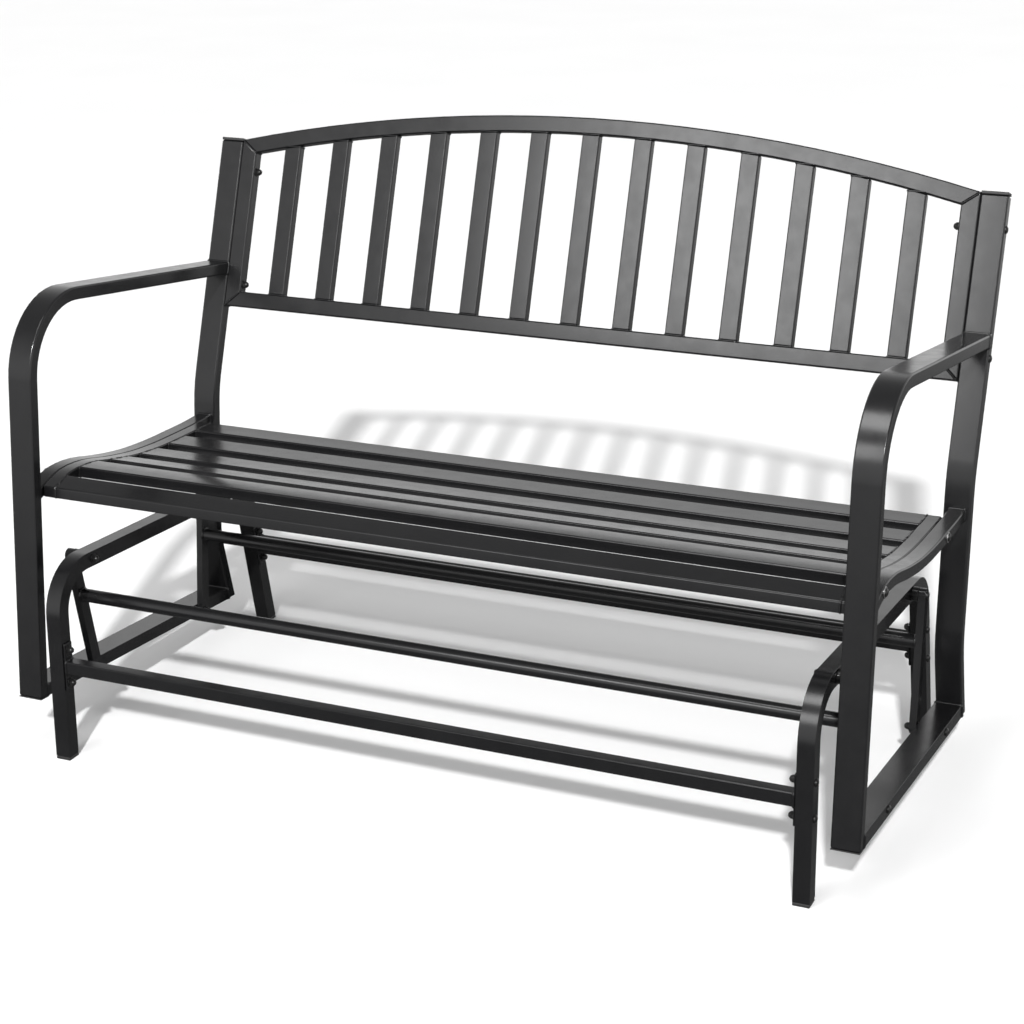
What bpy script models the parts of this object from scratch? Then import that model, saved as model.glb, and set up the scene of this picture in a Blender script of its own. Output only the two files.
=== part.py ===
"""Glider porch swing: a two-seat steel bench hung by four swing links in a standing base.

Driving dimensions are in millimetres and are turned into metres by mm(). +Z is up, +X is the
sitter's left seen from behind, and the front of the seat faces -Y. The floor is z = 0.
"""
import math
import bpy
import bmesh
from mathutils import Matrix, Vector

COLLECTION = "glider_porch_swing"

# ---------------------------------------------------------------- driving dimensions (mm)
Y_CENTRE = 419.67           # y of the box centre in the layout below; taken off every y

# standing base: two inverted-U side frames and two crossbars
BASE_IN, BASE_OUT = 564.5, 588.5
BASE_TUBE = 24.0
BASE_FRONT = 60.6           # front face of the front legs
BASE_TOP_Z, BASE_TOP_SLOPE = 313.2, -0.054
BASE_REAR_Y, BASE_REAR_SLOPE = 696.6, -0.235
BASE_BEND = 77.0
FOOT = 5.0                  # height of the plastic foot
FRONT_BAR, REAR_BAR = 20.0, 24.0        # square crossbars
FRONT_BAR_Z, REAR_BAR_Z = 151.0, 154.3
FLANGE_HIGH, FLANGE_THICK = 75.0, 3.0

# seat frame: its own axes (sy back, sz up) tipped back by SEAT_TILT about its front lower corner
SEAT_Y, SEAT_Z, SEAT_TILT = 64.6, 91.25, 3.8
ARM_IN, ARM_OUT = 611.6, 651.6
SIDE_TUBE = 20.0
LEG_CAP = 1.5               # flange of the plastic plug under the front leg
ARM_BEND = 121.0
ARM_TOP_Z, ARM_SLOPE = 617.8, -0.0665
POST_FOOT_SY, POST_KNEE_SY, POST_KNEE_SZ = 580.0, 537.3, 121.0
BACK_BEND_SY, BACK_BEND_SZ, BACK_LEAN = 537.3, 372.7, 14.72
POST_TOP = 420.0            # along the lean, from BACK_0
POST_CAP = 4.5
POST_BENDS = (200.0, 160.0)  # outer radii of its two bends, from the top
BACK_0 = (516.8, 372.3)     # start of the back's front plane

# back panel (u = x, v along the lean, w square to it, forwards)
BACK_HALF = 611.3
BACK_RAIL, BACK_STILE = 25.2, 27.0
BACK_DEEP = 20.0
BACK_LOW = 142.8
CROWN, CROWN_R = 489.3, 2650.0
CROWN_RAIL = 25.7           # depth of the arched rail towards the arch's centre
SLAT_COUNT, SLAT_PITCH, SLAT_WIDE, SLAT_DEEP = 13, 86.3, 29.0, 15.0
SLAT_SET = 0.8              # slats' fronts behind the rails' fronts

# seat panel
SUPPORT_IN, SUPPORT_OUT, SUPPORT_HIGH = 619.6, 643.6, 18.0
BAND_IN, BAND_OUT = 598.0, 619.3
SUPPORT_REACH = 0.4         # how far behind BACK_0 the post's front face is, at the support
SEAT_THICK = 17.0
SEAT_FRONT, SEAT_REAR = 34.0, 480.0
FRONT_RAIL_BACK, REAR_RAIL_FRONT = 65.0, 434.0
SEAT_SLAT_FRONTS = (98.0, 182.0, 266.0, 350.0)
SEAT_SLAT_WIDE = 50.0
SEAT_TOP = ((20.0, 318.0), (35.0, 324.0), (66.0, 336.5), (85.0, 340.0), (108.0, 341.5),
            (143.0, 340.0), (202.0, 331.0), (266.0, 324.0), (315.0, 322.0), (355.0, 322.0),
            (414.0, 324.0), (468.0, 326.5), (520.0, 331.0))

# swing links (y, z of the pivots) and their hardware
UPPER_FRONT_Y, UPPER_REAR_Y = 158.0, 539.2
LOWER_FRONT_SY, LOWER_REAR_SY = 137.5, 458.5
LINK_IN, LINK_OUT = 598.4, 609.4
LINK_WIDE = 20.0
CROSS_TUBE = 20.6
CROSS_DROP = 71.0           # from the upper pivot to the cross tube, down the link
BOLT_R, HOLE_R = 3.0, 3.14
LOOSE_HOLE_R = 5.2          # lower eye of the rear links
COLLAR_R = 10.5             # spacer between the base and a link
DOME = ((0.0, 5.7), (4.2, 5.7), (4.8, 4.9), (6.6, 4.2), (7.9, 2.9), (8.6, 1.4), (8.9, 0.0))
HEAD = ((0.0, 6.0), (0.9, 6.0), (2.0, 4.8), (2.7, 2.8), (3.0, 0.0))

GAP = 0.3                   # kept between pieces that touch
MITRE_GAP = 0.42            # the same gap square to a mitre, measured up the stile

# fineness of the curved shapes
BEND_STEPS, POST_STEPS = 12, 16         # in a quarter turn
HOLE_STEPS, END_STEPS, TURN_STEPS = 16, 10, 16
TUBE_RESOLUTION = 8
ARCH_STEPS = 24
SEAT_STEP, RAIL_STEP, SUPPORT_STEP = 17.0, 10.0, 20.0
WELD, FLAT_ANGLE = 1e-6, 0.2            # m and degrees
SHARP_ANGLE, BEVEL_ANGLE = 30.0, 40.0   # degrees


def mm(value):
    """Millimetres to metres."""
    return value / 1000.0


# ---------------------------------------------------------------- scene set-up
for old in list(bpy.data.objects):
    bpy.data.objects.remove(old, do_unlink=True)
shelf = bpy.data.collections.new(COLLECTION)
bpy.context.scene.collection.children.link(shelf)


def paint(name, colour, rough, metallic=0.0):
    """A plain Principled material of its own for one object."""
    mat = bpy.data.materials.new(name)
    mat.use_nodes = True
    node = mat.node_tree.nodes.get("Principled BSDF")
    node.inputs["Base Color"].default_value = (colour[0], colour[1], colour[2], 1.0)
    node.inputs["Roughness"].default_value = rough
    node.inputs["Metallic"].default_value = metallic
    return mat


STEEL = (0.020, 0.020, 0.022)
PLASTIC = (0.012, 0.012, 0.012)


# ---------------------------------------------------------------- plane geometry
def unit(v):
    """A plane vector of length one."""
    return v.normalized()


def left_of(v):
    """The vector turned a quarter turn anticlockwise."""
    return Vector((-v.y, v.x))


def meet(p, d, q, e):
    """Where the line p + s d crosses the line q + t e."""
    cross = d.x * e.y - d.y * e.x
    gap = q - p
    s = (gap.x * e.y - gap.y * e.x) / cross
    return p + d * s


def rounded(corners, radii, steps):
    """An open polyline with its inner corners rounded to the given radii."""
    out = [corners[0]]
    for i in range(1, len(corners) - 1):
        d_in = unit(corners[i] - corners[i - 1])
        d_out = unit(corners[i + 1] - corners[i])
        turn = math.atan2(d_in.x * d_out.y - d_in.y * d_out.x, d_in.dot(d_out))
        radius = radii[i - 1]
        run = radius * math.tan(abs(turn) / 2)
        begin = corners[i] - d_in * run
        side = left_of(d_in) if turn > 0 else -left_of(d_in)
        centre = begin + side * radius
        count = max(2, round(steps * abs(turn) / (math.pi / 2)))
        for k in range(count + 1):
            a = turn * k / count
            arm = begin - centre
            out.append(centre + Vector((arm.x * math.cos(a) - arm.y * math.sin(a),
                                        arm.x * math.sin(a) + arm.y * math.cos(a))))
    out.append(corners[-1])
    return out


def tube_outline(corners, radii, thick, cut0=None, cut1=None, steps=BEND_STEPS):
    """The side view of a bent tube: its outer edge, and its inner edge to the right of it."""
    pts = [Vector(c) for c in corners]
    dirs = [unit(pts[i + 1] - pts[i]) for i in range(len(pts) - 1)]
    ends = (cut0 or left_of(dirs[0]), cut1 or left_of(dirs[-1]))
    ends = [Vector(e) for e in ends]
    shifted = [pts[i] - left_of(dirs[i]) * thick for i in range(len(dirs))]
    inner = [meet(shifted[0], dirs[0], pts[0], ends[0])]
    inner_radii = []
    for i in range(1, len(dirs)):
        inner.append(meet(shifted[i - 1], dirs[i - 1], shifted[i], dirs[i]))
        turn = dirs[i - 1].x * dirs[i].y - dirs[i - 1].y * dirs[i].x
        inner_radii.append(radii[i - 1] + thick if turn > 0 else radii[i - 1] - thick)
    inner.append(meet(shifted[-1], dirs[-1], pts[-1], ends[1]))
    outer_line = rounded(pts, radii, steps)
    inner_line = rounded(inner, inner_radii, steps)
    return outer_line + inner_line[::-1]


def circle(centre, radius, count=HOLE_STEPS):
    """Points round a circle."""
    return [Vector((centre[0] + radius * math.cos(2 * math.pi * k / count),
                    centre[1] + radius * math.sin(2 * math.pi * k / count))) for k in range(count)]


def stadium(a, b, radius, count=END_STEPS):
    """A round-ended bar from a to b."""
    a = Vector(a)
    b = Vector(b)
    heading = math.atan2(b.y - a.y, b.x - a.x)
    out = []
    for centre, start in ((b, heading - math.pi / 2), (a, heading + math.pi / 2)):
        for k in range(count + 1):
            t = start + math.pi * k / count
            out.append(centre + Vector((radius * math.cos(t), radius * math.sin(t))))
    return out


# ---------------------------------------------------------------- frames of reference
TILT = math.radians(SEAT_TILT)
LEAN = math.radians(BACK_LEAN)
ALONG = Vector((math.sin(LEAN), math.cos(LEAN)))
BACKWARD = Vector((math.cos(LEAN), -math.sin(LEAN)))


def seat(p):
    """Seat-frame (sy, sz) to layout (y, z)."""
    return Vector((SEAT_Y + p[0] * math.cos(TILT) + p[1] * math.sin(TILT),
                   SEAT_Z - p[0] * math.sin(TILT) + p[1] * math.cos(TILT)))


def back_to_seat(v, w):
    """Back-panel (v, w) to seat-frame (sy, sz)."""
    return Vector(BACK_0) + ALONG * v - BACKWARD * w


# ---------------------------------------------------------------- joint axes
def axis_empty(name, centre, holder=None):
    """An empty on a joint's axis, through centre (y, z), that a moving body's pieces hang from."""
    empty = bpy.data.objects.new(name, None)
    shelf.objects.link(empty)
    place(empty, Matrix.Translation((0.0, mm(centre[0] - Y_CENTRE), mm(centre[1]))), holder)
    bpy.context.view_layer.update()
    return empty


def place(obj, where, holder):
    """Put an object at a matrix in the whole swing's axes, below its body's empty if it has one."""
    if holder is None:
        obj.matrix_basis = where
        return
    obj.parent = holder
    obj.matrix_basis = holder.matrix_world.inverted() @ where


# ---------------------------------------------------------------- solids
def prism(name, outline, low, high, where, holes=(), holder=None, bevel=1.6, colour=STEEL,
          rough=0.35):
    """A filled outline pushed from low to high along the third axis of the matrix where."""
    curve = bpy.data.curves.new(name, "CURVE")
    curve.dimensions = "2D"
    curve.fill_mode = "BOTH"
    curve.extrude = mm(high - low) / 2
    for loop in [outline] + list(holes):
        spline = curve.splines.new("POLY")
        spline.points.add(len(loop) - 1)
        for k, p in enumerate(loop):
            spline.points[k].co = (mm(p[0]), mm(p[1]), 0.0, 1.0)
        spline.use_cyclic_u = True
    guide = bpy.data.objects.new(name + "_curve", curve)
    shelf.objects.link(guide)
    bpy.context.view_layer.update()
    graph = bpy.context.evaluated_depsgraph_get()
    mesh = bpy.data.meshes.new_from_object(guide.evaluated_get(graph))
    bpy.data.objects.remove(guide, do_unlink=True)
    weld(mesh)
    mesh.transform(Matrix.Translation((0, 0, mm(low + high) / 2)))
    mesh.shade_smooth()
    mesh.set_sharp_from_angle(angle=math.radians(SHARP_ANGLE))
    mesh.name = name
    obj = bpy.data.objects.new(name, mesh)
    shelf.objects.link(obj)
    obj.data.materials.clear()
    obj.data.materials.append(paint(name, colour, rough))
    edge = obj.modifiers.new("edge", "BEVEL")
    edge.width = mm(bevel)
    edge.segments = 1
    edge.limit_method = "ANGLE"
    edge.angle_limit = math.radians(BEVEL_ANGLE)
    place(obj, where, holder)
    return obj


def weld(mesh):
    """Join the loose caps of a mesh to its sides, and face it outwards."""
    work = bmesh.new()
    work.from_mesh(mesh)
    bmesh.ops.remove_doubles(work, verts=work.verts, dist=WELD)
    bmesh.ops.dissolve_limit(work, angle_limit=math.radians(FLAT_ANGLE), verts=work.verts,
                             edges=work.edges)
    bmesh.ops.recalc_face_normals(work, faces=work.faces)
    work.to_mesh(mesh)
    work.free()


def axes(first, second, third, origin=(0.0, 0.0, 0.0)):
    """A matrix whose columns are the three given axes, about an origin in mm."""
    m = Matrix.Identity(4)
    for col, v in enumerate((first, second, third)):
        for row in range(3):
            m[row][col] = v[row]
    for row in range(3):
        m[row][3] = mm(origin[row])
    return m


# side view: outline (y, z), pushed along x
SIDE = axes((0, 1, 0), (0, 0, 1), (1, 0, 0), (0, -Y_CENTRE, 0))


def side_prism(name, outline, low, high, holes=(), **kw):
    """A prism whose outline is the side view (y, z), spanning low to high in x."""
    return prism(name, outline, low, high, SIDE, holes, **kw)


def turned(name, profile, sign, centre, holder, colour=STEEL, rough=0.3):
    """A turned piece: an (|x|, radius) profile, outermost point first, about an x axis."""
    mesh = bpy.data.meshes.new(name)
    edges = [(k, k + 1) for k in range(len(profile) - 1)]
    mesh.from_pydata([(mm(r), 0.0, mm(x)) for x, r in profile], edges, [])
    obj = bpy.data.objects.new(name, mesh)
    shelf.objects.link(obj)
    obj.data.materials.append(paint(name, colour, rough))
    screw = obj.modifiers.new("turn", "SCREW")
    screw.axis = "Z"
    screw.angle = math.radians(360)
    screw.steps = TURN_STEPS
    screw.render_steps = TURN_STEPS
    screw.use_merge_vertices = True
    screw.merge_threshold = WELD
    screw.use_smooth_shade = True
    where = axes((0, 1, 0), (0, 0, sign), (sign, 0, 0), (0, centre[0] - Y_CENTRE, centre[1]))
    place(obj, where, holder)
    return obj


def round_tube(name, half, radius, centre, holder, colour=STEEL, rough=0.35):
    """A straight round tube along x, from -half to half, through centre (y, z)."""
    curve = bpy.data.curves.new(name, "CURVE")
    curve.dimensions = "3D"
    curve.bevel_depth = mm(radius)
    curve.bevel_resolution = TUBE_RESOLUTION
    curve.use_fill_caps = True
    spline = curve.splines.new("POLY")
    spline.points.add(1)
    spline.points[0].co = (mm(-half), 0.0, 0.0, 1.0)
    spline.points[1].co = (mm(half), 0.0, 0.0, 1.0)
    obj = bpy.data.objects.new(name, curve)
    shelf.objects.link(obj)
    curve.materials.append(paint(name, colour, rough))
    place(obj, Matrix.Translation((0.0, mm(centre[0] - Y_CENTRE), mm(centre[1]))), holder)
    return obj


SIDES = (("left", -1.0), ("right", 1.0))


def span(sign, a, b):
    """Low and high x of something from |x| = a to b on one side."""
    return (a, b) if sign > 0 else (-b, -a)


# ---------------------------------------------------------------- pivots
def base_mid_z(y):
    """Middle height of the base's top rail."""
    half = BASE_TUBE / 2 * math.sqrt(1 + BASE_TOP_SLOPE ** 2)
    return BASE_TOP_Z + BASE_TOP_SLOPE * y - half


UPPER_FRONT = Vector((UPPER_FRONT_Y, base_mid_z(UPPER_FRONT_Y)))
UPPER_REAR = Vector((UPPER_REAR_Y, base_mid_z(UPPER_REAR_Y)))
LOWER_FRONT = seat((LOWER_FRONT_SY, SIDE_TUBE / 2))
LOWER_REAR = seat((LOWER_REAR_SY, SIDE_TUBE / 2))
FRONT_YOKE = axis_empty("front_swing_axis", UPPER_FRONT)
SEAT_BODY = axis_empty("seat_hang_axis", LOWER_FRONT, FRONT_YOKE)
REAR_YOKE = axis_empty("rear_swing_axis", UPPER_REAR)

# ---------------------------------------------------------------- base
front_top = Vector((BASE_FRONT, BASE_TOP_Z + BASE_TOP_SLOPE * BASE_FRONT))
rear_foot = Vector((BASE_REAR_Y, 0.0))
rear_dir = unit(Vector((BASE_REAR_SLOPE, 1.0)))
rear_top = meet(Vector((0.0, BASE_TOP_Z)), Vector((1.0, BASE_TOP_SLOPE)), rear_foot, rear_dir)
flat = Vector((1.0, 0.0))


def rear_edge(z):
    """Point on the rear leg's rear face at height z."""
    return rear_foot + rear_dir * (z / rear_dir.y)


base_line = [Vector((BASE_FRONT, FOOT + GAP)), front_top, rear_top, rear_edge(FOOT + GAP)]
base_outline = tube_outline(base_line, (BASE_BEND, BASE_BEND), BASE_TUBE, flat, flat)
rear_wide = BASE_TUBE / rear_dir.y
front_foot = [(BASE_FRONT, 0), (BASE_FRONT + BASE_TUBE, 0), (BASE_FRONT + BASE_TUBE, FOOT),
              (BASE_FRONT, FOOT)]
back_foot = [rear_edge(0) - flat * rear_wide, rear_edge(0), rear_edge(FOOT),
             rear_edge(FOOT) - flat * rear_wide]
for side, sign in SIDES:
    low, high = span(sign, BASE_IN, BASE_OUT)
    bores = [circle(UPPER_FRONT, HOLE_R), circle(UPPER_REAR, HOLE_R)]
    side_prism("base_frame_" + side, base_outline, low, high, bores, bevel=2.0)
    side_prism("foot_front_" + side, front_foot, low, high, bevel=0.8, colour=PLASTIC, rough=0.6)
    side_prism("foot_rear_" + side, back_foot, low, high, bevel=0.8, colour=PLASTIC, rough=0.6)


def crossbar(name, thick, where):
    """A square bar with a flat flange at each end, where it is bolted to the legs."""
    half = BASE_IN - GAP
    neck = half - FLANGE_THICK
    t = thick / 2
    f = FLANGE_HIGH / 2
    outline = [(-half, -f), (-neck, -f), (-neck, -t), (neck, -t), (neck, -f), (half, -f),
               (half, f), (neck, f), (neck, t), (-neck, t), (-neck, f), (-half, f)]
    prism(name, outline, -t, t, where, bevel=1.2)


leg_mid = BASE_TUBE / 2
front_mid = BASE_FRONT + leg_mid
crossbar("base_crossbar_front", FRONT_BAR,
         axes((1, 0, 0), (0, 0, 1), (0, -1, 0), (0, front_mid - Y_CENTRE, FRONT_BAR_Z)))
rear_mid = rear_edge(REAR_BAR_Z) + left_of(rear_dir) * leg_mid
crossbar("base_crossbar_rear", REAR_BAR,
         axes((1, 0, 0), (0, rear_dir.x, rear_dir.y), (0, -rear_dir.y, rear_dir.x),
              (0, rear_mid.x - Y_CENTRE, rear_mid.y)))

# ---------------------------------------------------------------- seat side frames
splay_top = Vector((POST_KNEE_SY, POST_KNEE_SZ))
splay_foot = Vector((POST_FOOT_SY, 0.0))
splay = unit(splay_top - splay_foot)
lean_bend = Vector((BACK_BEND_SY, BACK_BEND_SZ))
post_body_top = POST_TOP - POST_CAP - GAP
rear_face_top = back_to_seat(post_body_top, -SIDE_TUBE)
post_line = [rear_face_top, lean_bend, splay_top, splay_foot]
post_edges = tube_outline(post_line, POST_BENDS, SIDE_TUBE, None, flat, POST_STEPS)
post_outline = [seat(p) for p in post_edges]

arm_corner = Vector((0.0, ARM_TOP_Z))
arm_dir = unit(Vector((1.0, ARM_SLOPE)))
post_front = Vector(BACK_0) - BACKWARD * GAP
arm_end = meet(arm_corner, arm_dir, post_front, ALONG)
arm_line = [Vector((0.0, 0.0)), arm_corner, arm_end]
arm_outline = [seat(p) for p in tube_outline(arm_line, (ARM_BEND,), SIDE_TUBE, None, ALONG)]

splay_front = splay_foot + left_of(splay) * (SIDE_TUBE + GAP)
rail_low = meet(Vector((0, 0)), flat, splay_front, splay)
rail_high = meet(Vector((0, SIDE_TUBE)), flat, splay_front, splay)
rail_outline = [seat(p) for p in ((SIDE_TUBE + GAP, 0), rail_low, rail_high,
                                  (SIDE_TUBE + GAP, SIDE_TUBE))]
cap_outline = [seat(back_to_seat(v, w)) for v, w in
               ((POST_TOP - POST_CAP, 0), (POST_TOP, 0), (POST_TOP, -SIDE_TUBE),
                (POST_TOP - POST_CAP, -SIDE_TUBE))]
plug_outline = [seat(p) for p in ((0, -GAP), (0, -GAP - LEG_CAP), (SIDE_TUBE, -GAP - LEG_CAP),
                                  (SIDE_TUBE, -GAP))]


def seat_top(sy):
    """Height of the seat's top surface at sy, by smooth interpolation of SEAT_TOP."""
    pts = SEAT_TOP
    k = 0
    while k < len(pts) - 2 and sy > pts[k + 1][0]:
        k += 1
    a = pts[max(k - 1, 0)]
    b = pts[k]
    c = pts[k + 1]
    d = pts[min(k + 2, len(pts) - 1)]
    slope_b = (c[1] - a[1]) / (c[0] - a[0])
    slope_c = (d[1] - b[1]) / (d[0] - b[0])
    run = c[0] - b[0]
    t = (sy - b[0]) / run
    h00 = 2 * t ** 3 - 3 * t ** 2 + 1
    h10 = t ** 3 - 2 * t ** 2 + t
    h01 = -2 * t ** 3 + 3 * t ** 2
    h11 = t ** 3 - t ** 2
    return h00 * b[1] + h10 * run * slope_b + h01 * c[1] + h11 * run * slope_c


def strip(begin, end, thick, step):
    """Seat-frame outline of a piece that follows the seat's top from begin to end."""
    count = max(1, round((end - begin) / step))
    ys = [begin + (end - begin) * k / count for k in range(count + 1)]
    top = [Vector((y, seat_top(y))) for y in ys]
    bottom = [Vector((y, seat_top(y) - thick)) for y in ys]
    return [seat(p) for p in bottom + top[::-1]]


support_back = BACK_0[0] + SUPPORT_REACH - GAP
support_outline = strip(SIDE_TUBE + GAP, support_back, SUPPORT_HIGH, SUPPORT_STEP)
band_outline = strip(SEAT_FRONT, SEAT_REAR, SEAT_THICK, SUPPORT_STEP)
rail_bores = [circle(LOWER_FRONT, HOLE_R), circle(LOWER_REAR, HOLE_R)]
for side, sign in SIDES:
    low, high = span(sign, ARM_IN, ARM_OUT)
    side_prism("arm_tube_" + side, arm_outline, low, high, holder=SEAT_BODY, bevel=2.0)
    side_prism("rear_post_" + side, post_outline, low, high, holder=SEAT_BODY, bevel=2.0)
    side_prism("bottom_rail_" + side, rail_outline, low, high, rail_bores, holder=SEAT_BODY,
               bevel=2.0)
    side_prism("post_cap_" + side, cap_outline, low, high, holder=SEAT_BODY, bevel=0.8,
               colour=PLASTIC, rough=0.5)
    side_prism("leg_cap_" + side, plug_outline, low, high, holder=SEAT_BODY, bevel=0.4,
               colour=PLASTIC, rough=0.5)
    low, high = span(sign, SUPPORT_IN, SUPPORT_OUT)
    side_prism("seat_support_" + side, support_outline, low, high, holder=SEAT_BODY)
    low, high = span(sign, BAND_IN, BAND_OUT)
    side_prism("seat_end_band_" + side, band_outline, low, high, holder=SEAT_BODY)

# ---------------------------------------------------------------- seat panel
panel_half = BAND_IN - GAP


def seat_bar(name, begin, end, step):
    """One bar of the seat panel, from begin to end along the seat, between the end bands."""
    side_prism(name, strip(begin, end, SEAT_THICK, step), -panel_half, panel_half,
               holder=SEAT_BODY)


seat_bar("seat_front_rail", SEAT_FRONT, FRONT_RAIL_BACK, RAIL_STEP)
for number, begin in enumerate(SEAT_SLAT_FRONTS, 1):
    seat_bar("seat_slat_%d" % number, begin, begin + SEAT_SLAT_WIDE, SEAT_STEP)
seat_bar("seat_rear_rail", REAR_RAIL_FRONT, SEAT_REAR, SEAT_STEP)

# ---------------------------------------------------------------- back panel
origin_yz = seat(BACK_0)
up_yz = seat(Vector(BACK_0) + ALONG) - origin_yz
fore_yz = seat(Vector(BACK_0) - BACKWARD) - origin_yz
BACK = axes((1, 0, 0), (0, up_yz.x, up_yz.y), (0, fore_yz.x, fore_yz.y),
            (0, origin_yz.x - Y_CENTRE, origin_yz.y))


def crown(x, inset=0.0):
    """Height v of the arched top edge at x, or of an edge parallel to it below."""
    radius = CROWN_R - inset
    return CROWN - CROWN_R + math.sqrt(radius ** 2 - x ** 2)


def arc_points(half, inset=0.0):
    """Points along the arched edge from -half to half."""
    xs = [half * (2 * k / ARCH_STEPS - 1) for k in range(ARCH_STEPS + 1)]
    return [(x, crown(x, inset)) for x in xs]


def back_prism(name, outline, low, high, bevel):
    """A piece of the back panel: outline (u, v), spanning low to high in w."""
    prism(name, outline, low, high, BACK, holder=SEAT_BODY, bevel=bevel)


inner_x = BACK_HALF - BACK_STILE
rail_top = BACK_LOW + BACK_RAIL
arch = arc_points(BACK_HALF) + arc_points(inner_x, CROWN_RAIL)[::-1]
back_prism("back_top_rail", arch, -BACK_DEEP, 0, 1.8)
low_rail = [(-BACK_HALF, BACK_LOW), (BACK_HALF, BACK_LOW), (inner_x, rail_top),
            (-inner_x, rail_top)]
back_prism("back_bottom_rail", low_rail, -BACK_DEEP, 0, 1.8)
for side, sign in SIDES:
    stile = [(sign * BACK_HALF, BACK_LOW + MITRE_GAP),
             (sign * BACK_HALF, crown(BACK_HALF) - MITRE_GAP),
             (sign * inner_x, crown(inner_x, CROWN_RAIL) - MITRE_GAP),
             (sign * inner_x, rail_top + MITRE_GAP)]
    back_prism("back_stile_" + side, stile, -BACK_DEEP, 0, 1.8)
for number in range(SLAT_COUNT):
    x = (number - (SLAT_COUNT - 1) / 2) * SLAT_PITCH
    x0 = x - SLAT_WIDE / 2
    x1 = x + SLAT_WIDE / 2
    slat = [(x0, rail_top + GAP), (x1, rail_top + GAP), (x1, crown(x1, CROWN_RAIL) - GAP),
            (x0, crown(x0, CROWN_RAIL) - GAP)]
    back_prism("back_slat_%02d" % (number + 1), slat, -SLAT_SET - SLAT_DEEP, -SLAT_SET, 1.6)


# ---------------------------------------------------------------- swing links
def head(face):
    """Profile of a low round bolt head standing outwards from |x| = face, tip first."""
    return [(face + x, r) for x, r in HEAD[::-1]]


def dome_nut(face):
    """Profile of a dome nut standing inwards from |x| = face, tip last."""
    return [(face - x, r) for x, r in DOME]


collar = [(LINK_OUT + GAP, BOLT_R), (LINK_IN - GAP, BOLT_R), (LINK_IN - GAP, COLLAR_R),
          (BASE_OUT + GAP, COLLAR_R), (BASE_OUT + GAP, BOLT_R), (BASE_IN - GAP, BOLT_R)]
upper_pivot = head(LINK_OUT + GAP) + collar + dome_nut(BASE_IN - GAP)
shank = [(ARM_OUT + GAP, BOLT_R), (LINK_IN - GAP, BOLT_R)]
lower_pivot = head(ARM_OUT + GAP) + shank + dome_nut(LINK_IN - GAP)
for place_name, top, foot, eye, yoke in (
        ("front", UPPER_FRONT, LOWER_FRONT, HOLE_R, FRONT_YOKE),
        ("rear", UPPER_REAR, LOWER_REAR, LOOSE_HOLE_R, REAR_YOKE)):
    link = stadium(top, foot, LINK_WIDE / 2)
    for side, sign in SIDES:
        end = "_%s_%s" % (place_name, side)
        low, high = span(sign, LINK_IN, LINK_OUT)
        side_prism("link" + end, link, low, high, [circle(top, HOLE_R), circle(foot, eye)],
                   holder=yoke, bevel=1.4)
        turned("pivot_upper" + end, upper_pivot, sign, top, None)
        turned("pivot_lower" + end, lower_pivot, sign, foot, SEAT_BODY)
    round_tube("cross_tube_" + place_name, LINK_IN - GAP, CROSS_TUBE / 2,
               top + unit(foot - top) * CROSS_DROP, yoke)
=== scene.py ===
"""The looks of the glider porch swing: powder coat, welds, fasteners, floor, light and camera."""
import math

import bmesh
import bpy
from mathutils import Matrix, Vector


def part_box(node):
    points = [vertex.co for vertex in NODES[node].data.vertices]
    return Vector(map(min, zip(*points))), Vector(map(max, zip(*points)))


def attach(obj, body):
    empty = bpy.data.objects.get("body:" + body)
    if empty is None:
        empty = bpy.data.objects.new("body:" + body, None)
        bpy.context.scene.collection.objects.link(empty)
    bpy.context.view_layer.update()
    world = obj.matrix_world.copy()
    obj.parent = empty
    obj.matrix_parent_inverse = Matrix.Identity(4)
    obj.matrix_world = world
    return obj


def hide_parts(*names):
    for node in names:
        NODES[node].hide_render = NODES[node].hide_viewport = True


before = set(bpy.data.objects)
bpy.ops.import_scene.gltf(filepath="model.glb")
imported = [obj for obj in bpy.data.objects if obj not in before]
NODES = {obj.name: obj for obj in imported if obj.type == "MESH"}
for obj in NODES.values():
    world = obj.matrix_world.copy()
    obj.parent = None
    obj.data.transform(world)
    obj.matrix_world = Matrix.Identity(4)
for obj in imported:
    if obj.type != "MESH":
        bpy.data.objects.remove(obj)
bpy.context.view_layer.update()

MM = 0.001
SIGNS = (-1.0, 1.0)
SIDES = tuple(zip(("left", "right"), SIGNS))
X = Vector((1.0, 0.0, 0.0))

# faces and corners that the fasteners and welds sit on, in mm, as in the CAD
Y_CENTRE = 419.67
BASE_IN, BASE_OUT, FLANGE_THICK = 564.2, 588.5, 3.0
FRONT_BAR, REAR_BAR = 20.0, 24.0
LINK_IN, LINK_OUT = 598.4, 609.4
ARM_IN, ARM_OUT, SIDE_TUBE = 611.6, 651.6, 20.0
SUPPORT_IN, SUPPORT_OUT, SUPPORT_HIGH = 619.6, 643.6, 18.0
SEAT_Y, SEAT_Z, TILT = 64.6, 91.25, math.radians(3.8)
SEAT_SURFACE = 340.0        # about the seat's height in its own axes
BACK_Y, BACK_Z, LEAN = 516.8, 372.3, math.radians(14.72)
BACK_HALF, BACK_STILE, BACK_RAIL, BACK_DEEP, BACK_LOW = 611.3, 27.0, 25.2, 20.0, 142.8
CROWN, CROWN_R, CROWN_RAIL = 489.3, 2650.0, 25.7
BAND_IN, SLAT_DEEP, SLAT_SET = 598.0, 15.0, 0.8
GAP = 0.3
SPLAY = Vector((-42.7, 121.0)).normalized()         # up the rear posts' feet, in the seat's axes
UPRIGHT = Vector((0.0, 1.0))
REAR_LEAN = Vector((-0.235, 1.0)).normalized()      # up the base's rear legs
ARM_END_V, ARM_END_HALF = 204.3, 10.2               # middle of the arm's end, up the back
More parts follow.
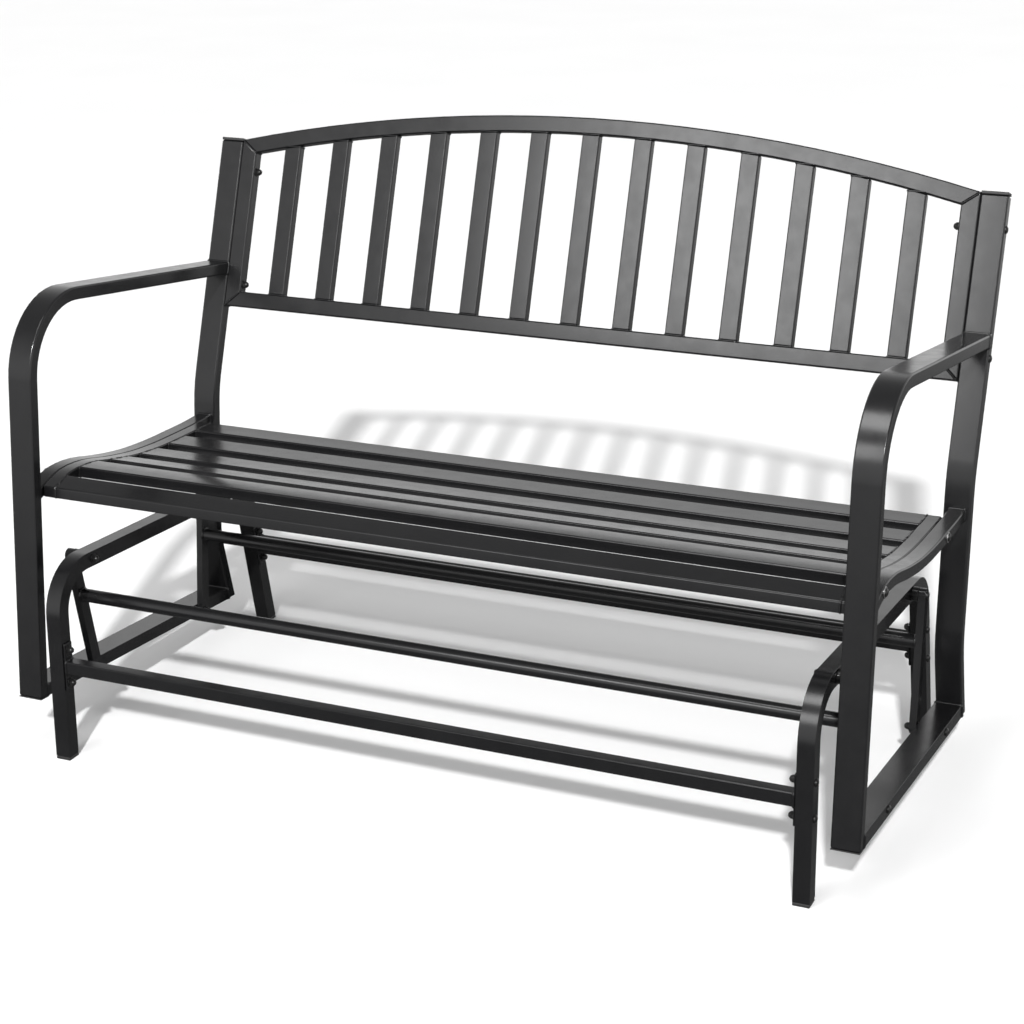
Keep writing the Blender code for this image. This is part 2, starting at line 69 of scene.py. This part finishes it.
RAIL_END_SY, RAIL_END_HALF = 554.9, 10.6            # middle of the bottom rail's rear end


def seat(sy, sz):
    """World (y, z) in mm of a point in the seat's own tipped axes."""
    return (SEAT_Y - Y_CENTRE + sy * math.cos(TILT) + sz * math.sin(TILT),
            SEAT_Z - sy * math.sin(TILT) + sz * math.cos(TILT))


def back(v, w):
    """World (y, z) in mm of a point v up the leaning back panel and w in front of its front."""
    return seat(BACK_Y + v * math.sin(LEAN) - w * math.cos(LEAN),
                BACK_Z + v * math.cos(LEAN) + w * math.sin(LEAN))


def in_seat(sy, sz):
    """World direction of a direction in the seat's axes."""
    way = (Vector(seat(sy, sz)) - Vector(seat(0.0, 0.0))).normalized()
    return Vector((0.0, way.x, way.y))


def at(x, yz):
    """A world point in mm from x and (y, z)."""
    return Vector((x, yz[0], yz[1]))


def middle(node):
    """World (y, z) in mm of the middle of a CAD node's box."""
    low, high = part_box(node)
    return ((low.y + high.y) / 2 / MM, (low.z + high.z) / 2 / MM)


def crown(x):
    """Height up the back of the arched rail's lower edge at x."""
    radius = CROWN_R - CROWN_RAIL
    return CROWN - CROWN_R + math.sqrt(radius ** 2 - x ** 2)


def add_object(name, data):
    """A new object in the scene."""
    obj = bpy.data.objects.new(name, data)
    bpy.context.scene.collection.objects.link(obj)
    return obj


# ---------------------------------------------------------------- materials
class Shader:
    """A small builder of node materials."""

    def __init__(self, name):
        self.mat = bpy.data.materials.new(name)
        self.mat.use_nodes = True
        self.nodes = self.mat.node_tree.nodes
        self.links = self.mat.node_tree.links
        self.bsdf = self.nodes["Principled BSDF"]
        self.coord = self.nodes.new("ShaderNodeTexCoord").outputs["Object"]

    def noise(self, scale, detail=2.0, rough=0.5):
        """Noise in object space; scale is in features per metre."""
        node = self.nodes.new("ShaderNodeTexNoise")
        node.inputs["Scale"].default_value = scale
        node.inputs["Detail"].default_value = detail
        node.inputs["Roughness"].default_value = rough
        self.links.new(self.coord, node.inputs["Vector"])
        return node.outputs["Fac"]

    def cells(self, scale):
        """Rounded cells in object space, for the dimples of an orange peel."""
        node = self.nodes.new("ShaderNodeTexVoronoi")
        node.feature = "SMOOTH_F1"
        node.inputs["Scale"].default_value = scale
        self.links.new(self.coord, node.inputs["Vector"])
        return node.outputs["Distance"]

    def vary(self, socket, value, stops):
        """Drive a shader input by a value, through a ramp of (position, grey or colour) stops."""
        node = self.nodes.new("ShaderNodeValToRGB")
        fill_ramp(node.color_ramp, stops)
        self.links.new(value, node.inputs["Fac"])
        self.links.new(node.outputs["Color"], self.bsdf.inputs[socket])

    def set(self, socket, value):
        """Give a shader input a constant value."""
        self.bsdf.inputs[socket].default_value = value

    def mix(self, a, b, factor):
        """Value a and value b averaged with weight factor on b."""
        node = self.nodes.new("ShaderNodeMix")
        node.inputs["Factor"].default_value = factor
        self.links.new(a, node.inputs["A"])
        self.links.new(b, node.inputs["B"])
        return node.outputs["Result"]

    def bump(self, height, distance, strength):
        """Bump of the given height in metres on the shader's normal."""
        node = self.nodes.new("ShaderNodeBump")
        node.inputs["Strength"].default_value = strength
        node.inputs["Distance"].default_value = distance
        self.links.new(height, node.inputs["Height"])
        self.links.new(node.outputs["Normal"], self.bsdf.inputs["Normal"])


def fill_ramp(ramp, stops):
    """Put (position, grey or colour) stops into a colour ramp."""
    while len(ramp.elements) < len(stops):
        ramp.elements.new(0.5)
    for element, (place, colour) in zip(ramp.elements, stops):
        if isinstance(colour, float):
            colour = (colour, colour, colour)
        element.position = place
        element.color = (*colour, 1.0)


def powder_coat():
    """Satin black powder coat: fine orange peel, faint cloudiness, slightly uneven gloss."""
    s = Shader("powder_coat_black")
    black = ((0.3, (0.0052, 0.0052, 0.0056)), (0.7, (0.0070, 0.0070, 0.0074)))
    s.vary("Base Color", s.noise(9.0, 3.0), black)
    s.vary("Roughness", s.noise(40.0, 4.0, 0.6), ((0.35, 0.21), (0.65, 0.26)))
    s.set("IOR", 1.50)
    s.bump(s.mix(s.cells(520.0), s.noise(900.0, 3.0), 0.35), 0.00006, 0.22)
    return s.mat


def moulded_plastic():
    """Matt black moulded plastic with a fine spark-eroded grain."""
    s = Shader("plastic_black")
    s.vary("Base Color", s.noise(30.0, 3.0), ((0.3, 0.011), (0.7, 0.016)))
    s.vary("Roughness", s.noise(300.0, 2.0), ((0.3, 0.50), (0.7, 0.62)))
    s.bump(s.noise(1800.0, 3.0, 0.7), 0.00005, 0.5)
    return s.mat


def black_oxide():
    """Black zinc fasteners: patchy gloss, worn lighter in places."""
    s = Shader("fastener_black")
    worn = ((0.35, 0.010), (0.62, 0.016), (0.8, 0.05))
    s.vary("Base Color", s.noise(160.0, 4.0, 0.65), worn)
    s.vary("Roughness", s.noise(420.0, 3.0), ((0.3, 0.24), (0.7, 0.40)))
    s.set("Metallic", 0.35)
    s.bump(s.noise(1100.0, 3.0, 0.6), 0.00004, 0.35)
    return s.mat


def bright_zinc():
    """Bright zinc plate on the seat supports' washers."""
    s = Shader("zinc_plate")
    s.vary("Base Color", s.noise(300.0, 3.0), ((0.3, 0.42), (0.7, 0.55)))
    s.vary("Roughness", s.noise(700.0, 3.0), ((0.3, 0.25), (0.7, 0.38)))
    s.set("Metallic", 1.0)
    return s.mat


def pale_floor():
    """A plain, nearly white studio floor."""
    s = Shader("studio_floor")
    s.vary("Base Color", s.noise(2.0, 2.0), ((0.2, 0.86), (0.8, 0.88)))
    s.set("Roughness", 0.9)
    s.set("Specular IOR Level", 0.1)
    return s.mat


COAT = powder_coat()
PLASTIC = moulded_plastic()
FASTENER = black_oxide()
ZINC = bright_zinc()

# ---------------------------------------------------------------- rounding of the CAD nodes
WELD_DISTANCE = 1e-5                                        # m
FLAT_ANGLE, BEVEL_ANGLE, CREASE_ANGLE = 0.3, 30.0, 52.0     # degrees
STEEL_ROUND, PLASTIC_ROUND = 0.7, 0.3                       # mm
ROUND_SEGMENTS = 2
PLASTIC_NODES = ("foot_", "post_cap_", "leg_cap_")


def smooth_group():
    """A modifier group that shades a node smooth except across its real corners."""
    group = bpy.data.node_groups.new("shade_smooth_by_angle", "GeometryNodeTree")
    group.interface.new_socket("Geometry", in_out="INPUT", socket_type="NodeSocketGeometry")
    group.interface.new_socket("Geometry", in_out="OUTPUT", socket_type="NodeSocketGeometry")
    nodes = group.nodes
    links = group.links
    start = nodes.new("NodeGroupInput")
    end = nodes.new("NodeGroupOutput")
    faces = nodes.new("GeometryNodeSetShadeSmooth")
    faces.domain = "FACE"
    edges = nodes.new("GeometryNodeSetShadeSmooth")
    edges.domain = "EDGE"
    edges.inputs["Shade Smooth"].default_value = False
    angle = nodes.new("GeometryNodeInputMeshEdgeAngle")
    sharp = nodes.new("FunctionNodeCompare")
    sharp.operation = "GREATER_THAN"
    sharp.inputs["B"].default_value = math.radians(CREASE_ANGLE)
    links.new(start.outputs[0], faces.inputs["Geometry"])
    links.new(faces.outputs[0], edges.inputs["Geometry"])
    links.new(angle.outputs["Unsigned Angle"], sharp.inputs["A"])
    links.new(sharp.outputs["Result"], edges.inputs["Selection"])
    links.new(edges.outputs[0], end.inputs[0])
    return group


SMOOTH = smooth_group()


def round_edges(obj, width):
    """Weld, tidy and round a CAD node's edges without touching its mesh."""
    weld = obj.modifiers.new("weld", "WELD")
    weld.merge_threshold = WELD_DISTANCE
    flat = obj.modifiers.new("flat faces", "DECIMATE")
    flat.decimate_type = "DISSOLVE"
    flat.angle_limit = math.radians(FLAT_ANGLE)
    bevel = obj.modifiers.new("rounded edges", "BEVEL")
    bevel.width = width * MM
    bevel.segments = ROUND_SEGMENTS
    bevel.limit_method = "ANGLE"
    bevel.angle_limit = math.radians(BEVEL_ANGLE)
    smooth = obj.modifiers.new("smooth", "NODES")
    smooth.node_group = SMOOTH
    normal = obj.modifiers.new("weighted normals", "WEIGHTED_NORMAL")
    normal.keep_sharp = True


def finish_cad_nodes():
    """Rounded edges and a material for every CAD node that stays in view."""
    for name, node in NODES.items():
        if name.startswith("pivot_"):
            continue
        plastic = name.startswith(PLASTIC_NODES)
        round_edges(node, PLASTIC_ROUND if plastic else STEEL_ROUND)
        for slot in node.material_slots:
            slot.material = PLASTIC if plastic else COAT


finish_cad_nodes()


# ---------------------------------------------------------------- meshes made of rings
def add_rings(work, rings, closed):
    """Quads between rings of points; closed joins the last ring to the first."""
    loops = [[work.verts.new(p) for p in ring] for ring in rings]
    pairs = list(zip(loops, loops[1:]))
    if closed:
        pairs.append((loops[-1], loops[0]))
    for first, second in pairs:
        for k in range(len(first)):
            nxt = (k + 1) % len(first)
            work.faces.new((first[k], first[nxt], second[nxt], second[k]))
    if not closed:
        work.faces.new(loops[0][::-1])
        work.faces.new(loops[-1])


def piece(name, work, material, body, sharp):
    """A finished mesh as a piece that rides on a body; sharp is its crease angle in degrees."""
    bmesh.ops.recalc_face_normals(work, faces=work.faces)
    mesh = bpy.data.meshes.new(name)
    work.to_mesh(mesh)
    work.free()
    mesh.shade_smooth()
    mesh.set_sharp_from_angle(angle=math.radians(sharp))
    mesh.materials.append(material)
    obj = add_object(name, mesh)
    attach(obj, body)
    return obj


# ---------------------------------------------------------------- fasteners
# A section is (|x|, radius, half the distance across its flats), and a round one has no flats.
TURN = 36                   # points round a section
TINY = 0.05                 # radius at a closed end
ROUND, SOCKET, NUT = 0.0, 1.9, 5.0
UNCUT = 9.0                 # a radius that leaves a hexagon's corners whole
BOLT_R = 3.0
HEAD_HIGH, HEAD_R, SOCKET_DEEP, SOCKET_LIP = 3.0, 6.0, 1.5, 0.1
# (depth below the head's tip, radius)
HEAD_DOME = ((0.0, 2.5), (0.35, 3.6), (1.1, 4.98), (2.0, 5.82), (2.6, 6.0))
# (depth from the face, radius, half the distance across the flats)
WASHER_AND_NUT = ((0.0, 7.2, ROUND), (0.9, 7.2, ROUND), (0.95, 5.1, NUT), (1.6, UNCUT, NUT),
                  (4.6, UNCUT, NUT), (5.1, 5.1, NUT), (5.2, 4.6, ROUND), (6.4, 4.4, ROUND),
                  (7.6, 3.6, ROUND), (8.4, 2.3, ROUND), (8.8, 0.9, ROUND), (8.9, TINY, ROUND))
SPACER_R, LINK_WASHER_R, ZINC_R, ZINC_THICK, RIM = 10.5, 8.5, 8.0, 1.2, 0.4
FLANGE_BOLTS = (("low", -26.0), ("high", 26.0))         # along the flange from its middle
BACK_BOLTS = (("low", 180.3), ("high", 366.8))          # up the back
SUPPORT_BOLTS = (("front", 78.0), ("rear", 418.0))      # along the seat
FASTENER_CREASE = 28.0                                  # degrees


def ring(x, radius, flats, sign, centre):
    """Points round an x axis; a hexagon's corners are cut off at the radius."""
    points = []
    for k in range(TURN):
        a = 2 * math.pi * k / TURN
        r = radius
        if flats:
            off = (a + math.pi / 6) % (math.pi / 3) - math.pi / 6
            r = min(radius, flats / math.cos(off))
        points.append((sign * x * MM, (centre[0] + r * math.cos(a)) * MM,
                       (centre[1] + r * math.sin(a)) * MM))
    return points


def domed_head(face):
    """Sections of a low domed head with a hexagon socket, outwards from |x| = face, tip first."""
    tip = face + HEAD_HIGH
    bottom = tip - SOCKET_DEEP
    socket = [(bottom, TINY, ROUND), (bottom, UNCUT, SOCKET), (tip - SOCKET_LIP, UNCUT, SOCKET)]
    dome = [(tip - drop, radius, ROUND) for drop, radius in HEAD_DOME]
    return socket + dome + [(face, HEAD_R, ROUND)]


def acorn_nut(face):
    """Sections of a washer and a dome nut, inwards from |x| = face, tip last."""
    return [(face - depth, radius, flats) for depth, radius, flats in WASHER_AND_NUT]


def shank(begin, end):
    """Sections of a plain bolt from |x| = begin inwards to end."""
    return [(begin, BOLT_R, ROUND), (end, BOLT_R, ROUND)]


def bush(begin, end, radius):
    """Sections of a spacer bush or washer with eased rims."""
    return [(begin, radius - RIM, ROUND), (begin - RIM, radius, ROUND),
            (end + RIM, radius, ROUND), (end, radius - RIM, ROUND)]


def fastener(name, sections, sign, centre, body, material=FASTENER):
    """A turned piece about an x axis through centre (y, z) in mm."""
    work = bmesh.new()
    rings = [ring(x, radius, flats, sign, centre) for x, radius, flats in sections]
    add_rings(work, rings, closed=False)
    return piece(name, work, material, body, FASTENER_CREASE)


def pivots():
    """The swing pivots: bolt, bush and dome nut in place of each plain CAD pivot."""
    upper = (domed_head(LINK_OUT + GAP) + shank(LINK_OUT + GAP, LINK_IN - GAP)
             + bush(LINK_IN - GAP, BASE_OUT + GAP, SPACER_R) + shank(BASE_OUT + GAP, BASE_IN)
             + acorn_nut(BASE_IN))
    lower = (domed_head(ARM_OUT + GAP) + shank(ARM_OUT + GAP, ARM_IN - GAP)
             + bush(ARM_IN - GAP, LINK_OUT + GAP, LINK_WASHER_R)
             + shank(LINK_OUT + GAP, LINK_IN - GAP) + acorn_nut(LINK_IN - GAP))
    for place in ("front", "rear"):
        for side, sign in SIDES:
            for level, sections, body in (("upper", upper, "base"), ("lower", lower, "seat")):
                node = "pivot_%s_%s_%s" % (level, place, side)
                made = fastener("fine_" + node, sections, sign, middle(node), body)
                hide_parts(node)


def flange_bolts():
    """Two bolts through each leg and crossbar flange, dome nuts inboard."""
    inner = BASE_IN - FLANGE_THICK
    sections = domed_head(BASE_OUT) + shank(BASE_OUT, inner) + acorn_nut(inner)
    for place, lean in (("front", UPRIGHT), ("rear", REAR_LEAN)):
        mid = Vector(middle("base_crossbar_" + place))
        for side, sign in SIDES:
            for level, along in FLANGE_BOLTS:
                name = "flange_bolt_%s_%s_%s" % (place, side, level)
                fastener(name, sections, sign, mid + lean * along, "base")


def back_bolts():
    """Two bolts through each post and back stile, dome nuts inside the stile."""
    inner = BACK_HALF - BACK_STILE
    sections = domed_head(ARM_OUT) + shank(ARM_OUT, inner) + acorn_nut(inner)
    for side, sign in SIDES:
        for level, along in BACK_BOLTS:
            name = "back_bolt_%s_%s" % (side, level)
            fastener(name, sections, sign, back(along, -BACK_DEEP / 2), "seat")


def support_height(sy):
    """Height in the seat's axes of the middle of the seat support at sy, from its CAD node."""
    end_margin = 3.0 * MM
    clear = 100.0 * MM
    node = NODES["seat_support_right"]
    low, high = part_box("seat_support_right")
    x = (low.x + high.x) / 2
    y = min(max(seat(sy, SEAT_SURFACE)[0] * MM, low.y + end_margin), high.y - end_margin)
    top = node.ray_cast((x, y, high.z + clear), (0.0, 0.0, -1.0))[1].z
    bottom = node.ray_cast((x, y, low.z - clear), (0.0, 0.0, 1.0))[1].z
    return ((top + bottom) / 2 / MM - SEAT_Z + sy * math.sin(TILT)) / math.cos(TILT)


def support_bolts():
    """Bolts with bright washers on the seat supports' outer faces."""
    face = SUPPORT_OUT + ZINC_THICK
    washer = ([(face, TINY, ROUND)] + bush(face, SUPPORT_OUT, ZINC_R)
              + [(SUPPORT_OUT, TINY, ROUND)])
    bolt = domed_head(face) + shank(face, SUPPORT_IN) + [(SUPPORT_IN, TINY, ROUND)]
    for side, sign in SIDES:
        for place, sy in SUPPORT_BOLTS:
            centre = seat(sy, support_height(sy))
            end = "%s_%s" % (place, side)
            fastener("support_washer_" + end, washer, sign, centre, "seat", ZINC)
            fastener("support_bolt_" + end, bolt, sign, centre, "seat")


pivots()
flange_bolts()
back_bolts()
support_bolts()

# ---------------------------------------------------------------- weld beads
BEAD_STEP, BEAD_SIDES, RIPPLE = 1.1, 6, 0.1
CORNER = 1.6                # cut off a rectangular bead's corners
TUBE_POINTS = 48            # round a cross tube
END_REACH = 3.0             # how near to a seat bar's end its corners are looked for
END_INSET = 0.4
WELD_CREASE = 80.0          # degrees
# half widths of the beads
ARM_BEAD, LEG_BEAD, POST_BEAD, SUPPORT_BEAD = 2.0, 1.8, 2.2, 1.7
SLAT_BEAD, MITRE_BEAD, SEAT_BEAD, FLANGE_BEAD, YOKE_BEAD = 1.3, 1.2, 1.5, 2.0, 1.9

UP_BACK = in_seat(math.sin(LEAN), math.cos(LEAN))
FORE_BACK = in_seat(-math.cos(LEAN), math.sin(LEAN))
UP_SEAT = in_seat(0.0, 1.0)
UP_SPLAY = in_seat(SPLAY.x, SPLAY.y)


def resampled(points):
    """A closed path again, with a point about every BEAD_STEP."""
    out = []
    for a, b in zip(points, points[1:] + points[:1]):
        count = max(1, round((b - a).length / BEAD_STEP))
        out += [a.lerp(b, k / count) for k in range(count)]
    return out


def bead(work, points, radius):
    """A rippled weld bead along a closed path of points in mm."""
    path = resampled(points)
    centre = sum(path, Vector()) / len(path)
    normal = Vector()
    for a, b in zip(path, path[1:]):
        normal += (a - centre).cross(b - centre)
    normal.normalize()
    turns = [2 * math.pi * n / BEAD_SIDES for n in range(BEAD_SIDES)]
    rings = []
    for k, p in enumerate(path):
        forward = (path[(k + 1) % len(path)] - path[k - 1]).normalized()
        out = forward.cross(normal).normalized()
        size = radius * (1 + RIPPLE if k % 2 else 1 - RIPPLE)
        rings.append([(p + (out * math.cos(a) + normal * math.sin(a)) * size) * MM
                      for a in turns])
    add_rings(work, rings, closed=True)


def rectangle(centre, first, second, half_first, half_second):
    """A rectangle with cut corners, in the plane of two unit vectors."""
    a = half_first
    b = half_second
    c = CORNER
    corners = ((a - c, -b), (a, -b + c), (a, b - c), (a - c, b),
               (-a + c, b), (-a, b - c), (-a, -b + c), (-a + c, -b))
    return [centre + first * p + second * q for p, q in corners]


def side_frame_welds(work):
    """Beads round the arm ends, bottom rails and seat supports."""
    arm_mid = (ARM_IN + ARM_OUT) / 2
    half = (ARM_OUT - ARM_IN) / 2
    support_mid = (SUPPORT_IN + SUPPORT_OUT) / 2
    support_half = (SUPPORT_OUT - SUPPORT_IN) / 2
    rail_mid = SIDE_TUBE / 2
    joints = ((back(ARM_END_V, 0.0), UP_BACK, ARM_END_HALF, ARM_BEAD),
              (seat(SIDE_TUBE, rail_mid), UP_SEAT, rail_mid, LEG_BEAD),
              (seat(RAIL_END_SY, rail_mid), UP_SPLAY, RAIL_END_HALF, POST_BEAD))
    for sign in SIGNS:
        for place, up, high, radius in joints:
            bead(work, rectangle(at(sign * arm_mid, place), X, up, half, high), radius)
        for sy in (SIDE_TUBE, BACK_Y):
            centre = at(sign * support_mid, seat(sy, support_height(sy)))
            loop = rectangle(centre, X, UP_SEAT, support_half, SUPPORT_HIGH / 2)
            bead(work, loop, SUPPORT_BEAD)


def back_welds(work):
    """Beads round the ends of the back slats and across the frame's mitred corners."""
    rail_top = BACK_LOW + BACK_RAIL
    for name in NODES:
        if not name.startswith("back_slat_"):
            continue
        low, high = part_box(name)
        x = (low.x + high.x) / 2 / MM
        half = (high.x - low.x) / 2 / MM
        for v in (rail_top, crown(x)):
            centre = at(x, back(v, -SLAT_SET - SLAT_DEEP / 2))
            bead(work, rectangle(centre, X, FORE_BACK, half, SLAT_DEEP / 2), SLAT_BEAD)
    outer = BACK_HALF
    inner = BACK_HALF - BACK_STILE
    mitres = ((BACK_LOW, rail_top), (crown(outer) + CROWN_RAIL, crown(inner)))
    for sign in SIGNS:
        for v_outer, v_inner in mitres:
            a = at(sign * outer, back(v_outer, -BACK_DEEP / 2))
            b = at(sign * inner, back(v_inner, -BACK_DEEP / 2))
            across = b - a
            loop = rectangle((a + b) / 2, across.normalized(), FORE_BACK, across.length / 2,
                             BACK_DEEP / 2)
            bead(work, loop, MITRE_BEAD)


def end_loop(name, x):
    """The outline of a node's end face at x, from its own corners, drawn in by END_INSET."""
    ends = {(round(v.co.y, 5), round(v.co.z, 5)) for v in NODES[name].data.vertices
            if abs(v.co.x - x * MM) < END_REACH * MM}
    points = [Vector((y, z)) / MM for y, z in ends]
    mid = sum(points, Vector((0.0, 0.0))) / len(points)
    points = [p - (p - mid).normalized() * END_INSET for p in points]
    points.sort(key=lambda p: math.atan2(p.y - mid.y, p.x - mid.x))
    return [at(x, p) for p in points]


def seat_welds(work):
    """Beads where the seat's bars meet the end bands."""
    for name in NODES:
        if name.startswith(("seat_slat_", "seat_front_", "seat_rear_")):
            for sign in SIGNS:
                bead(work, end_loop(name, sign * (BAND_IN - GAP)), SEAT_BEAD)


def base_welds(work):
    """Beads round the crossbars at their flanges."""
    neck = BASE_IN - FLANGE_THICK
    for place, lean, bar in (("front", UPRIGHT, FRONT_BAR), ("rear", REAR_LEAN, REAR_BAR)):
        up = Vector((0.0, lean.x, lean.y))
        across = Vector((0.0, lean.y, -lean.x))
        mid = middle("base_crossbar_" + place)
        for sign in SIGNS:
            loop = rectangle(at(sign * neck, mid), across, up, bar / 2, bar / 2)
            bead(work, loop, FLANGE_BEAD)


def yoke_welds(work, place):
    """Beads round the ends of one cross tube, at the links."""
    low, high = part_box("cross_tube_" + place)
    radius = (high.z - low.z) / 2 / MM
    y, z = middle("cross_tube_" + place)
    turns = [2 * math.pi * k / TUBE_POINTS for k in range(TUBE_POINTS)]
    for sign in SIGNS:
        loop = [at(sign * (LINK_IN - GAP), (y + radius * math.cos(a), z + radius * math.sin(a)))
                for a in turns]
        bead(work, loop, YOKE_BEAD)


def weld_piece(name, body, make, *details):
    """One group of a body's beads as a piece."""
    work = bmesh.new()
    make(work, *details)
    piece(name, work, COAT, body, WELD_CREASE)


weld_piece("weld_beads_seat_sides", "seat", side_frame_welds)
weld_piece("weld_beads_back", "seat", back_welds)
weld_piece("weld_beads_seat_panel", "seat", seat_welds)
weld_piece("weld_beads_base", "base", base_welds)
weld_piece("weld_beads_front_yoke", "front_yoke", yoke_welds, "front")
weld_piece("weld_beads_rear_yoke", "rear_yoke", yoke_welds, "rear")

# ---------------------------------------------------------------- studio
FLOOR_SIZE = 60.0
# brightness against height, from straight down (-1) to straight up (1)
STUDIO = ((-1.0, 0.10), (-0.28, 0.12), (-0.14, 0.90), (0.18, 0.95), (0.44, 0.62), (0.7, 0.27),
          (1.0, 0.24))
STUDIO_STRENGTH = 1.15


def studio_floor():
    """A wide square floor, which the paint doesn't reflect."""
    mesh = bpy.data.meshes.new("studio_floor")
    work = bmesh.new()
    bmesh.ops.create_grid(work, x_segments=1, y_segments=1, size=FLOOR_SIZE / 2)
    work.to_mesh(mesh)
    work.free()
    mesh.materials.append(pale_floor())
    floor = add_object("studio_floor", mesh)
    floor.visible_glossy = False


def studio_world():
    """A pale studio: bright round the horizon, dimmer overhead and below the floor's level."""
    world = bpy.data.worlds.new("studio")
    bpy.context.scene.world = world
    world.use_nodes = True
    nodes = world.node_tree.nodes
    links = world.node_tree.links
    coord = nodes.new("ShaderNodeTexCoord")
    parts = nodes.new("ShaderNodeSeparateXYZ")
    height = nodes.new("ShaderNodeMapRange")
    height.inputs["From Min"].default_value = -1.0
    ramp = nodes.new("ShaderNodeValToRGB")
    fill_ramp(ramp.color_ramp, [((z + 1) / 2, grey) for z, grey in STUDIO])
    links.new(coord.outputs["Generated"], parts.inputs["Vector"])
    links.new(parts.outputs["Z"], height.inputs["Value"])
    links.new(height.outputs["Result"], ramp.inputs["Fac"])
    links.new(ramp.outputs["Color"], nodes["Background"].inputs["Color"])
    nodes["Background"].inputs["Strength"].default_value = STUDIO_STRENGTH


def aimed(name, data, place, aim):
    """A lamp at place, facing aim."""
    obj = add_object(name, data)
    obj.location = place
    obj.rotation_euler = (Vector(aim) - Vector(place)).to_track_quat("-Z", "Y").to_euler()


def key_light(place, strength, angle):
    """The main light, far away, whose width in degrees sets how soft the shadows are."""
    data = bpy.data.lights.new("key_light", "SUN")
    data.energy = strength
    data.angle = math.radians(angle)
    aimed("key_light", data, place, (0.0, 0.0, 0.0))


def softbox(name, place, aim, size, power):
    """A rectangular softbox that the satin paint reflects."""
    data = bpy.data.lights.new(name, "AREA")
    data.shape = "RECTANGLE"
    data.size = size[0]
    data.size_y = size[1]
    data.energy = power
    aimed(name, data, place, aim)


studio_floor()
studio_world()
key_light(place=(1.45, -4.3, 3.2), strength=3.6, angle=2.5)
softbox("front_softbox", place=(-1.25, -4.3, 3.0), aim=(0.2, 0.2, 0.7), size=(1.6, 1.5), power=62.0)
softbox("top_softbox", place=(0.1, -1.3, 3.1), aim=(0.5, -0.3, 0.5), size=(1.2, 1.0), power=30.0)
bpy.context.scene.view_settings.view_transform = "Standard"

# ---------------------------------------------------------------- camera
CAMERA_PLACE = (1.3589, -3.0479, 1.5184)
CAMERA_AZIMUTH, CAMERA_DOWN, CAMERA_ROLL = 25.32, 18.40, -0.95
CAMERA_SENSOR, CAMERA_LENS = 36.0, 83.16
CAMERA_SHIFT = (0.0547, -0.0312)
CAMERA_NEAR, CAMERA_FAR = 0.1, 100.0


def add_camera():
    """The scene's camera, in front of the bench and to its right."""
    data = bpy.data.cameras.new("camera")
    data.sensor_width = CAMERA_SENSOR
    data.lens = CAMERA_LENS
    data.shift_x, data.shift_y = CAMERA_SHIFT
    data.clip_start = CAMERA_NEAR
    data.clip_end = CAMERA_FAR
    camera = add_object("camera", data)
    bpy.context.scene.camera = camera
    camera.location = CAMERA_PLACE
    camera.rotation_euler = (
        Matrix.Rotation(math.radians(CAMERA_AZIMUTH), 3, "Z")
        @ Matrix.Rotation(math.radians(90.0 - CAMERA_DOWN), 3, "X")
        @ Matrix.Rotation(math.radians(CAMERA_ROLL), 3, "Z")
    ).to_euler()


add_camera()
